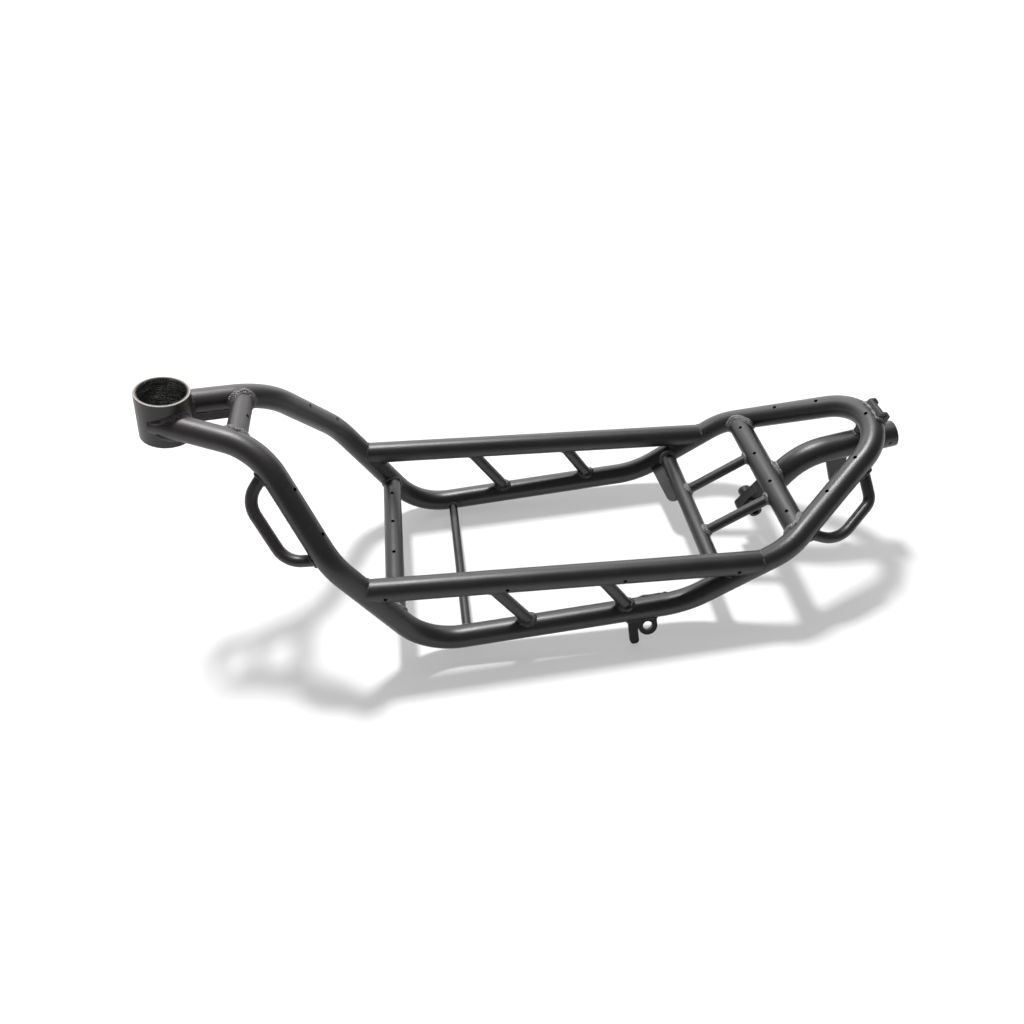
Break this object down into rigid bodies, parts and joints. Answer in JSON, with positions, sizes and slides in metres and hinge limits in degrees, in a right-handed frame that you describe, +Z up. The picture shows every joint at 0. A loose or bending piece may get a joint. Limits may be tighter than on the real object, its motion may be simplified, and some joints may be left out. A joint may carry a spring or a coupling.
{
  "type": "electric scooter frame",
  "caption": "Welded tubular scooter frame: head tube, bent main rails with a rear seat loop, floor rails, cross tubes, struts, brackets and hand loops.",
  "frame": {"origin": "middle of the head tube's bore, on the steering axis", "axes": "+X to the rear, +Y to the rider's right, +Z up with the floor rails level"},
  "size_m": [0.9472, 0.3123, 0.3935],
  "materials": {
    "frame_paint": "satin black paint",
    "bracket_paint": "satin black paint"
  },
  "bodies": {
    "root": {"arch_lug": "bracket_paint", "arch_tube": "frame_paint", "corner_gusset": "bracket_paint", "floor_cross_rod": "frame_paint", "floor_cross_tube": "frame_paint", "front_cross_tube": "frame_paint", "front_hand_loop": "frame_paint", "head_tube": "frame_paint", "left_front_strut": "frame_paint", "left_main_rail": "frame_paint", "left_neck_gusset": "bracket_paint", "left_rear_strut": "frame_paint", "left_seat_strut": "frame_paint", "left_upper_rail": "frame_paint", "loop_saddle": "bracket_paint", "rear_bracket": "bracket_paint", "rear_bracket_pin": "bracket_paint", "rear_cross_tube": "frame_paint", "rear_hand_loop": "frame_paint", "right_front_strut": "frame_paint", "right_main_rail": "frame_paint", "right_neck_gusset": "bracket_paint", "right_rear_strut": "frame_paint", "right_seat_strut": "frame_paint", "right_upper_rail": "frame_paint", "seat_cross_tube": "frame_paint", "shock_bracket": "bracket_paint", "shock_bush": "bracket_paint", "stand_bracket": "bracket_paint"}
  },
  "joints": []
}
